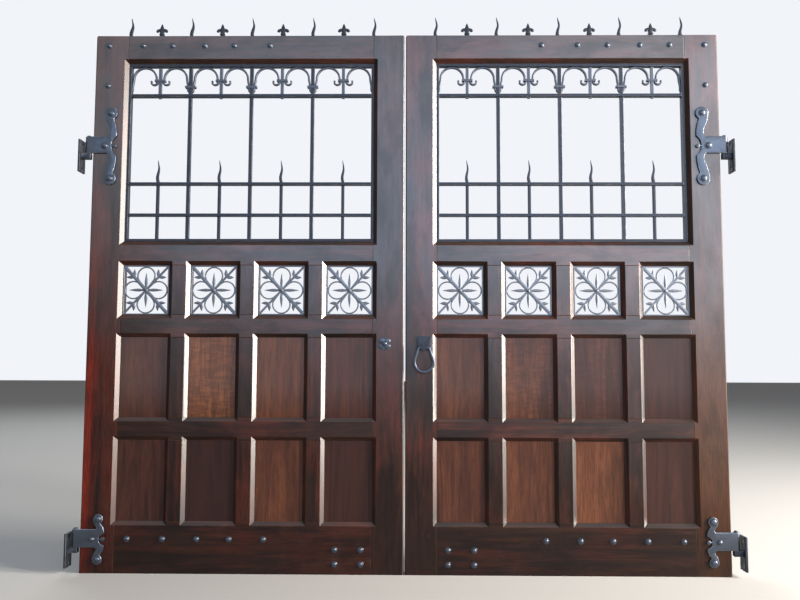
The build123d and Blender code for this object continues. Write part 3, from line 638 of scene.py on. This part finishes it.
def add_copy(target, pattern, place, turn=0.0):
    """Adds a copy of a pattern to a piece, turned in the plane of the leaf and moved to its place."""
    count = len(target.verts)
    target.from_mesh(pattern)
    target.verts.ensure_lookup_table()
    copied = target.verts[count:]
    if turn:
        bmesh.ops.rotate(target, verts=copied, cent=(0, 0, 0), matrix=in_plane(turn))
    bmesh.ops.translate(target, vec=place, verts=copied)


def boxes_of(node):
    """The lowest and highest corner of each loose solid in a node."""
    flat = bench_copy(node)
    spans = [span_of(group) for group in separate_solids(flat)]
    flat.free()
    return spans


def frieze_arch(toward):
    """One arch from the foot of its long leg, over the top, to the tip of its hook."""
    piece = bmesh.new()
    foot_place = (-scroll_gap * toward, frieze_middle, -scroll_leg)
    bar = Forging(piece, foot_place, 90.0, scroll_wide, scroll_deep)
    bar.step(leg_start)
    bar.step(leg_bend, -leg_lean * toward)
    bar.step(leg_run)
    bar.step(leg_bend, leg_lean * toward)
    bar.bend(scroll_radius, -180.0 * toward, 18)
    bar.step(hook_bend, hook_lean * toward)
    bar.step(hook_run)
    bar.step(hook_bend, -hook_lean * toward)
    bar.bend(hook_radius, -hook_turn * toward, 12, wide=0.85, deep=0.9)
    bar.bend(curl_radius, -curl_turn * toward, 5, wide=0.9, deep=0.9)
    bar.step(curl_swell, wide=1.45, deep=1.1)
    bar.step(curl_end, wide=0.5, deep=0.6)
    foot_bar = Forging(piece, foot_place, 270.0, scroll_wide, scroll_deep)
    foot_bar.bend(foot_radius, -foot_turn * toward, 7, wide=0.6, deep=0.9)
    return pattern_of(piece)


arch_pair = {toward: frieze_arch(toward) for toward in (1, -1)}
for leaf in ("left", "right"):
    node = f"{leaf}_frieze_scrolls"
    arches = bmesh.new()
    for index, (low, high) in enumerate(boxes_of(node)):
        toward = 1 if index % 2 == 0 else -1
        outer = low.x + scroll_wide / 2 if toward == 1 else high.x - scroll_wide / 2
        add_copy(arches, arch_pair[toward], (outer, 0.0, high.z))
    bmesh.ops.recalc_face_normals(arches, faces=arches.faces)
    set_up(arches, f"{leaf}_frieze_iron", f"{leaf}_leaf", frieze_paint, [node], smooth=50)


# Flames and spears
# The short bars of the tall grille and the cresting on the head of each leaf end in flames: square
# bar drawn out to a point under the hammer and set in a slow wave while it was still hot.

crest_side = 0.014
crest_sway = 22.0
crest_sunk = 0.002
spear_side = 0.012
spear_flame = 0.093
spear_sway = 16.0
flame_corner = 0.12
flame_waves = 1.25
flame_steps = 16
upright = 90.0


def flame_width(part):
    """The share of its first width that a flame has left after a part of its height."""
    return (1 - part) ** 0.75 * (1 + 0.1 * sin(pi * part)) + 0.10


def draw_flame(bar, height, sway):
    """Draws the end of a bar out to a point in a wave that dies away towards the tip."""
    for index in range(flame_steps):
        part, after = index / flame_steps, (index + 1) / flame_steps
        dying = 0.55 + 0.45 * (1 - part)
        aim = upright + sway * cos(2 * pi * flame_waves * (part + after) / 2) * dying
        narrower = flame_width(after) / flame_width(part)
        length = height / flame_steps / cos(radians(aim - upright))
        bar.step(length, aim - bar.heading, narrower, narrower)


crest_paint = iron_finish("crest_paint", hammered=0.8, rusted=0.4)
for leaf in ("left", "right"):
    node = f"{leaf}_crest_flames"
    flames = bmesh.new()
    for low, high in boxes_of(node):
        middle = (low + high) / 2
        bar = Forging(bmesh.new(), (0.0, 0.0, 0.0), upright, crest_side, crest_side, flame_corner)
        draw_flame(bar, high.z - head, crest_sway)
        add_copy(flames, pattern_of(bar.piece), (middle.x, middle.y, head - crest_sunk))
    bmesh.ops.recalc_face_normals(flames, faces=flames.faces)
    set_up(flames, f"{leaf}_crest_flame_iron", f"{leaf}_leaf", crest_paint, [node], smooth=40)

    node = f"{leaf}_spear_bars"
    spears = bmesh.new()
    for low, high in boxes_of(node):
        middle = (low + high) / 2
        bar = Forging(bmesh.new(), (0.0, 0.0, 0.0), upright, spear_side, spear_side, flame_corner)
        bar.step(high.z - low.z - spear_flame)
        draw_flame(bar, spear_flame, spear_sway)
        add_copy(spears, pattern_of(bar.piece), (middle.x, middle.y, low.z))
    bmesh.ops.recalc_face_normals(spears, faces=spears.faces)
    set_up(spears, f"{leaf}_spear_iron", f"{leaf}_leaf", bar_paint, [node], smooth=40)


# Fleurs-de-lis
# Four stand between the flames on each leaf, on tangs let into the top rail. The middle leaf is
# drawn out to a point, two side leaves are curled over beside it, and a band holds the three.

fleur_stem = 0.026
fleur_foot = 0.023
fleur_deep = 0.009
fleur_corner = 0.4
middle_lengths = (0.008, 0.009, 0.008, 0.008, 0.009, 0.009, 0.008, 0.005)
middle_widths = (0.88, 0.76, 0.80, 0.88, 0.78, 0.54, 0.26, 0.04)
middle_depths = (0.95, 0.9, 0.95, 0.90, 0.75, 0.55, 0.35, 0.10)
side_wide = 0.0135
side_curl = 0.0096
side_start = 215.0
side_lean = 35.0
side_root = 0.55
side_deep = 0.8
side_turns = (100.0, 85.0, 12.0)
side_tip = (0.0030, 0.0022)
band_size = (0.021, 0.0115, 0.005)
band_below = 0.009
block_rim = 0.0012


def swell(bar, lengths, widths, depths):
    """Works the end of a bar through a run of lengths, to each width and depth in turn."""
    wide, deep = 1.0, 1.0
    for length, next_wide, next_deep in zip(lengths, widths, depths):
        bar.step(length, 0.0, next_wide / wide, next_deep / deep)
        wide, deep = next_wide, next_deep


def filed_block(piece, size, place):
    """Adds a rectangular block with its rims filed."""
    block = bmesh.ops.create_cube(piece, size=1.0)["verts"]
    bmesh.ops.scale(piece, vec=size, verts=block)
    bmesh.ops.translate(piece, vec=place, verts=block)
    rims = list(dict.fromkeys(edge for vert in block for edge in vert.link_edges))
    bmesh.ops.bevel(
        piece, geom=rims, offset=block_rim, segments=2, profile=0.5,
        affect="EDGES", material=-1, clamp_overlap=True,
    )


def fleur():
    piece = bmesh.new()
    stem = Forging(piece, (0.0, 0.0, -crest_sunk), upright, fleur_foot, fleur_deep, fleur_corner)
    swell(stem, middle_lengths, middle_widths, middle_depths)
    for side in (-1, 1):
        start_x = side * side_curl * (1 + cos(radians(side_start)))
        start_z = fleur_stem + side_curl * sin(radians(side_start))
        heading = upright + side_lean * side
        start = (start_x, 0.0, start_z)
        arm = Forging(piece, start, heading, side_wide * side_root, fleur_deep * side_deep, fleur_corner)
        arm.bend(side_curl, -side_turns[0] * side, 8, wide=1.55)
        arm.bend(side_curl, -side_turns[1] * side, 7, wide=1.17, deep=0.95)
        arm.step(side_tip[0], -side_turns[2] * side, wide=0.86, deep=0.9)
        arm.step(side_tip[1], -side_turns[2] * side, wide=0.45, deep=0.6)
    filed_block(piece, band_size, (0.0, 0.0, fleur_stem - band_below))
    return pattern_of(piece)


fleur_pattern = fleur()
for leaf in ("left", "right"):
    node = f"{leaf}_crest_fleurs"
    fleurs = bmesh.new()
    for low, high in boxes_of(node):
        add_copy(fleurs, fleur_pattern, ((low.x + high.x) / 2, (low.y + high.y) / 2, head))
    bmesh.ops.recalc_face_normals(fleurs, faces=fleurs.faces)
    set_up(fleurs, f"{leaf}_fleur_iron", f"{leaf}_leaf", crest_paint, [node], smooth=45)


# Square grilles
# Four small squares of lace in each leaf: a flat frame, two diagonals halved over each other under
# a boss, a round loop towards each side with a blade in it, and pairs of leaves on the diagonals.

lace_frame = 0.005
lace_corner = 0.2
falling_wide = 0.013
rising_wide = 0.008
diagonal_deep = 0.86
diagonal_apart = 0.06
loop_radius = 0.034
loop_wide = 0.0055
loop_deep = 0.0065
loop_corner = 0.3
loop_bite = 0.0005
blade_reach = 0.069
blade_wide = 0.012
leaf_reach = 0.032
leaf_wide = 0.013
leaf_root = 0.52
leaf_stalk = 0.35
leaf_corner = 0.4
leaf_lengths = (0.2, 0.22, 0.2, 0.2, 0.18)
leaf_widths = (2.0, 2.86, 2.4, 1.3, 0.15)
leaf_depths = (1.0, 0.95, 0.8, 0.6, 0.25)
boss_radius = 0.0075
boss_flat = 0.62
boss_forward = 0.22


def pointed_leaf(piece, start, heading, length, wide, deep):
    """A leaf or blade drawn out from a narrow stalk to a point."""
    leaf_bar = Forging(piece, start, heading, wide * leaf_stalk, deep, leaf_corner)
    swell(leaf_bar, [length * part for part in leaf_lengths], leaf_widths, leaf_depths)


def lace_square(half_wide, half_high, deep):
    """One square about its own middle."""
    piece = bmesh.new()
    middle = (0.0, 0.0, 0.0)
    clear_wide, clear_high = half_wide - lace_frame, half_high - lace_frame
    edge = lace_frame / 2
    slant = degrees(asin(clear_high / hypot(clear_wide, clear_high)))
    for side in (-1, 1):
        level_place = (-half_wide, 0.0, side * (half_high - edge))
        level = Forging(piece, level_place, 0.0, lace_frame, deep, lace_corner)
        level.step(2 * half_wide)
        post_place = (side * (half_wide - edge), 0.0, -half_high)
        post = Forging(piece, post_place, upright, lace_frame, deep, lace_corner)
        post.step(2 * half_high)
        corner = (-clear_wide, side * deep * diagonal_apart, -side * clear_high)
        diagonal_wide = rising_wide if side == 1 else falling_wide
        diagonal = Forging(piece, corner, side * slant, diagonal_wide, deep * diagonal_deep, lace_corner)
        diagonal.step(2 * hypot(clear_wide, clear_high))
    for quarter, reach in enumerate((clear_wide, clear_high, clear_wide, clear_high)):
        out = 90.0 * quarter
        distance = reach - loop_radius - loop_wide / 2 + loop_bite
        opening = degrees(asin(loop_radius / distance))
        straight = (distance ** 2 - loop_radius ** 2) ** 0.5
        loop = Forging(piece, middle, out - opening, loop_wide, loop_deep, loop_corner)
        loop.step(straight)
        loop.bend(loop_radius, 180.0 + 2 * opening, 28)
        loop.step(straight)
        pointed_leaf(piece, middle, out, blade_reach, blade_wide, loop_deep)
    for across in (-1, 1):
        for up in (-1, 1):
            root = (across * half_wide * leaf_root, 0.0, up * half_high * leaf_root)
            pointed_leaf(piece, root, 90.0 * up, leaf_reach, leaf_wide, loop_deep)
            pointed_leaf(piece, root, 90.0 - 90.0 * across, leaf_reach, leaf_wide, loop_deep)
    boss = bmesh.ops.create_uvsphere(piece, u_segments=16, v_segments=8, radius=boss_radius)["verts"]
    bmesh.ops.scale(piece, vec=(1.0, boss_flat, 1.0), verts=boss)
    bmesh.ops.translate(piece, vec=(0.0, -deep * boss_forward, 0.0), verts=boss)
    return pattern_of(piece)


# The lace takes the palest paint, painted light for the light it catches.
lace_paint = iron_finish("lace_paint", hammered=0.9, rusted=0.3, shine=0.34, paint=lit_iron_pale)
first_low, first_high = boxes_of("left_square_grilles")[0]
lace_half = (first_high - first_low) / 2
lace_pattern = lace_square(lace_half.x, lace_half.z, 2 * lace_half.y)
for leaf in ("left", "right"):
    node = f"{leaf}_square_grilles"
    lace = bmesh.new()
    for low, high in boxes_of(node):
        add_copy(lace, lace_pattern, (low + high) / 2)
    bmesh.ops.recalc_face_normals(lace, faces=lace.faces)
    set_up(lace, f"{leaf}_lace_iron", f"{leaf}_leaf", lace_paint, [node], smooth=45)


# Hinge plates
# Forged plates on the faces of the hinge stiles, cut to a waisted outline with round ends and a
# small bud in the notch, their rims filed round and their tabs rolled into a knuckle for the pin.

plate_rim = 0.0018
shortest_rim = 0.0004
outline_radius = 0.003
straight_through = 0.99
gentlest_corner = 4.0
sharpest_corner = 50.0


def round_outline(piece):
    """Files the facets of an outline to a smooth curve: corners that run through the thickness."""
    through = [
        edge for edge in piece.edges
        if len(edge.link_faces) == 2
        and abs((edge.verts[0].co - edge.verts[1].co).normalized().y) > straight_through
        and radians(gentlest_corner) < edge.calc_face_angle(0) < radians(sharpest_corner)
    ]
    bmesh.ops.bevel(
        piece, geom=through, offset=outline_radius, offset_type="OFFSET", segments=3,
        profile=0.5, affect="EDGES", material=-1, clamp_overlap=True,
    )
    return piece


hinge_paint = iron_finish("hinge_paint", hammered=0.9, rusted=0.25, shine=0.24, paint=iron_blue)
for leaf in ("left", "right"):
    for member in ("top_hinge", "bottom_hinge"):
        node = f"{leaf}_{member}"
        plate = soften(round_outline(bench_copy(node)), plate_rim, 3, shortest_rim)
        set_up(plate, f"{node}_iron", f"{leaf}_leaf", hinge_paint, [node], smooth=38)


# Straps, drop bolts and pintles
# Behind each row of studs lies a flat strap that their nuts pull up against. A square bolt drops
# from a guided plate at the foot of each leaf. The pintles, plate and pin, belong to the posts.

strap_paint = iron_finish("strap_paint", hammered=0.8, rusted=0.6, shine=0.42)
filed = 0.0009
shortest_file = 0.0006
for leaf in ("left", "right"):
    for member in ("top_strap", "bottom_strap", "bolt_plate", "drop_bolt"):
        node = f"{leaf}_{member}"
        body = f"{leaf}_bolt" if member == "drop_bolt" else f"{leaf}_leaf"
        worked = soften(bench_copy(node), filed, 2, shortest_rub)
        set_up(worked, f"{node}_iron", body, strap_paint, [node])
for node in ("upper_pintles", "lower_pintles"):
    worked = soften(bench_copy(node), filed, 2, shortest_file)
    set_up(worked, f"{node}_iron", "pintles", strap_paint, [node], smooth=35)


# Dome studs
# Dome-headed bolts go through the straps, hinges and timber. Each head is forged over a narrow
# collar, and its square nut is run down at the back with the end of the bolt riveted over it.

stud_wide = 0.012
plate_stud_wide = 0.0155
stud_dome = 0.82
stud_tall = 0.008
stud_collar = 0.0016
stud_sides = 28
dome_rings = 6
collar_round = 0.35
nut_side = 0.019
nut_deep = 0.008
shank_wide = 0.005
shank_sides = 12
rivet_edge = 0.001
rivet_tip = 0.002
on_axis = 0.00001
seam_weld = 0.00003
face_slack = 0.001
most_turn = 17.0
turn_by_x = 900
turn_by_z = 500


def turned(piece, profile, place, sides):
    """Spins a profile of (radius, depth) pairs about a line through the thickness of the leaf."""
    points = [piece.verts.new((place[0] + radius, place[1] + depth, place[2])) for radius, depth in profile]
    lines = [piece.edges.new(pair) for pair in zip(points, points[1:])]
    bmesh.ops.spin(
        piece, geom=points + lines, cent=place, axis=(0, 1, 0), dvec=(0, 0, 0),
        angle=2 * pi, steps=sides, use_merge=True, use_duplicate=False,
    )


def dome(piece, place, wide, inner, tall, collar_deep):
    """A dome on a narrow collar, standing forward from its place."""
    swept = [pi / 2 * ring / dome_rings for ring in range(dome_rings + 1)]
    arc = [(inner * sin(angle), -collar_deep - (tall - collar_deep) * cos(angle)) for angle in swept]
    arc[0] = (on_axis, arc[0][1])
    edge = collar_deep * collar_round
    arc += [(wide - edge, -collar_deep), (wide, -collar_deep + edge), (wide, 0.0), (on_axis, 0.0)]
    turned(piece, arc, place, stud_sides)


def dome_bolt(wide, seat, nut_seat):
    """A bolt from its dome, which sits at one depth, to its nut, which sits at another."""
    piece = bmesh.new()
    dome(piece, Vector((0.0, seat, 0.0)), wide, wide * stud_dome, stud_tall, stud_collar)
    tip = nut_seat + nut_deep - seat
    shank = [(on_axis, 0.0), (shank_wide, 0.0), (shank_wide, tip + rivet_edge), (on_axis, tip + rivet_tip)]
    turned(piece, shank, Vector((0.0, seat, 0.0)), shank_sides)
    bmesh.ops.remove_doubles(piece, verts=piece.verts, dist=seam_weld)
    filed_block(piece, (nut_side, nut_deep, nut_side), (0.0, nut_seat + nut_deep / 2, 0.0))
    bmesh.ops.recalc_face_normals(piece, faces=piece.faces)
    return pattern_of(piece)


def tight_at(x, z):
    """The turn at which a bolt happened to come tight, in degrees, different at each place."""
    return most_turn * sin(turn_by_x * x + turn_by_z * z)


stud_paint = iron_finish("stud_paint", hammered=0.3, rusted=0.3, shine=0.24, paint=iron_blue)
stud_patterns = {}
for leaf in ("left", "right"):
    node = f"{leaf}_stud_bolts"
    studs = bmesh.new()
    for low, high in boxes_of(node):
        seat, nut_seat = round(low.y + stud_tall, 5), round(high.y - nut_deep, 5)
        if (seat, nut_seat) not in stud_patterns:
            on_plate = seat < front_face - face_slack and nut_seat < back_face + face_slack
            wide = plate_stud_wide if on_plate else stud_wide
            stud_patterns[seat, nut_seat] = dome_bolt(wide, seat, nut_seat)
        x, z = (low.x + high.x) / 2, (low.z + high.z) / 2
        add_copy(studs, stud_patterns[seat, nut_seat], (x, 0.0, z), tight_at(x, z))
    set_up(studs, f"{leaf}_stud_iron", f"{leaf}_leaf", stud_paint, [node], smooth=42)


# Rose
# The fixed side of the pull: four raised lobes hammered up from one small plate, held by a dome
# stud through the meeting stile of the left leaf.

rose_spread = 0.015
rose_lobe = 0.013
rose_dome = 0.86
rose_thick = 0.004
rose_rim = 0.0018
rose_low, rose_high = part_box("left_rose")
rose_x = (rose_low.x + rose_high.x) / 2
rose_z = (rose_low.z + rose_high.z) / 2
rose_piece = bmesh.new()
for quarter in range(4):
    slant = radians(45 + 90 * quarter)
    spot = Vector((rose_x + rose_spread * cos(slant), front_face, rose_z + rose_spread * sin(slant)))
    dome(rose_piece, spot, rose_lobe, rose_lobe * rose_dome, rose_thick, rose_rim)
add_copy(rose_piece, dome_bolt(stud_wide, front_face - rose_thick, back_face), (rose_x, 0.0, rose_z))
bmesh.ops.remove_doubles(rose_piece, verts=rose_piece.verts, dist=seam_weld)
bmesh.ops.recalc_face_normals(rose_piece, faces=rose_piece.faces)
set_up(rose_piece, "rose_iron", "left_leaf", stud_paint, ["left_rose"], smooth=42)


# Ring pull
# A pear-shaped ring of round bar hangs by its two turned-in ends from the bored boss of a small
# square plate, and drops back against the stile when it is let go. It lifts from below.

ring_bar = 0.0045
ring_swell = 1.25
ring_corner_round = 0.29
ring_gap = 0.0015
ring_shoulder = 0.020
ring_corner = 0.0063
ring_drop = 0.057
ring_radius = 0.037
ring_low, ring_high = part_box("right_ring")
ring_x = (ring_low.x + ring_high.x) / 2
ring_y = (ring_low.y + ring_high.y) / 2
ring_z = ring_high.z - ring_bar

# The sides run straight from the rounded shoulders to the points where the big arc takes over.
lean = degrees(asin(ring_drop / hypot(ring_shoulder, ring_drop)))
swing = degrees(acos(ring_radius / hypot(ring_shoulder, ring_drop)))
slope = lean - swing - 90.0
trim = ring_corner * tan(radians(-slope / 2))
ring_side = (ring_shoulder ** 2 + ring_drop ** 2 - ring_radius ** 2) ** 0.5
ring_piece = bmesh.new()
ring_start = (ring_x + ring_gap, ring_y, ring_z)
bar = Forging(ring_piece, ring_start, 0.0, 2 * ring_bar, 2 * ring_bar, ring_corner_round)
bar.step(ring_shoulder - ring_gap - trim)
bar.bend(ring_corner, slope, 7)
bar.step(ring_side - trim, wide=ring_swell, deep=ring_swell)
bar.bend(ring_radius, -(360.0 + 2 * slope), 30)
bar.step(ring_side - trim, wide=1 / ring_swell, deep=1 / ring_swell)
bar.bend(ring_corner, slope, 7)
bar.step(ring_shoulder - ring_gap - trim)
bmesh.ops.recalc_face_normals(ring_piece, faces=ring_piece.faces)
set_up(ring_piece, "ring_iron", "ring", stud_paint, ["right_ring"], smooth=50)

plate_filed = 0.0007
plate_paint = iron_finish("plate_paint", hammered=0.4, rusted=0.4)
plate_piece = soften(round_outline(bench_copy("right_ring_plate")), plate_filed, 2, shortest_rim)
set_up(plate_piece, "ring_plate_iron", "right_leaf", plate_paint, ["right_ring_plate"], smooth=35)
